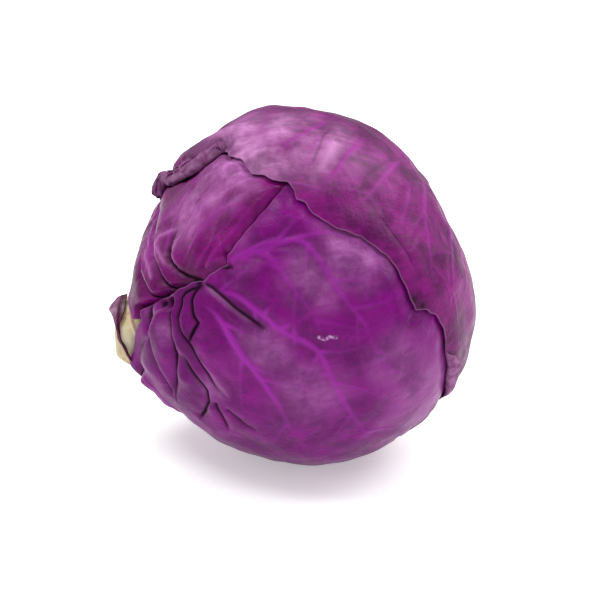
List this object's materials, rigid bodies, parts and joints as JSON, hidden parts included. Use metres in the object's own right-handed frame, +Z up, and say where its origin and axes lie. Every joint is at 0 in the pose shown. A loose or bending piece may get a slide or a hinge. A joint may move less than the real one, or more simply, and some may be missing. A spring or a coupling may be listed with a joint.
{
  "type": "red cabbage head",
  "caption": "Round head of red cabbage lying on its side, with wrapped ribbed leaves, a rolled leaf rim and a cut stem.",
  "frame": {"origin": "centre of the small flat spot that the head lies on, under its centre", "axes": "+Z up from the surface; -X towards the cut stem, which points about 13 degrees below the level; -Y towards the viewer of the picture"},
  "size_m": [0.1687, 0.1601, 0.16],
  "materials": {
    "outer_leaf": "smooth waxy purple leaf with a pale bloom and brighter veins",
    "front_leaf": "smooth waxy purple leaf with magenta veins",
    "left_leaf": "glossy dark purple leaf, swollen between its creases",
    "back_leaf": "smooth waxy purple leaf",
    "inner_leaves": "paler tight leaves of the inner head",
    "stem_flesh": "matt pale cream cut stem with brown marks",
    "leaf_base": "dark maroon base of a cut leaf"
  },
  "bodies": {
    "root": {"inner_head": "inner_leaves", "leaf_back": "back_leaf", "leaf_left": "left_leaf", "leaf_front": "front_leaf", "leaf_top": "outer_leaf", "stem": "stem_flesh", "leaf_stub": "leaf_base"}
  },
  "joints": []
}
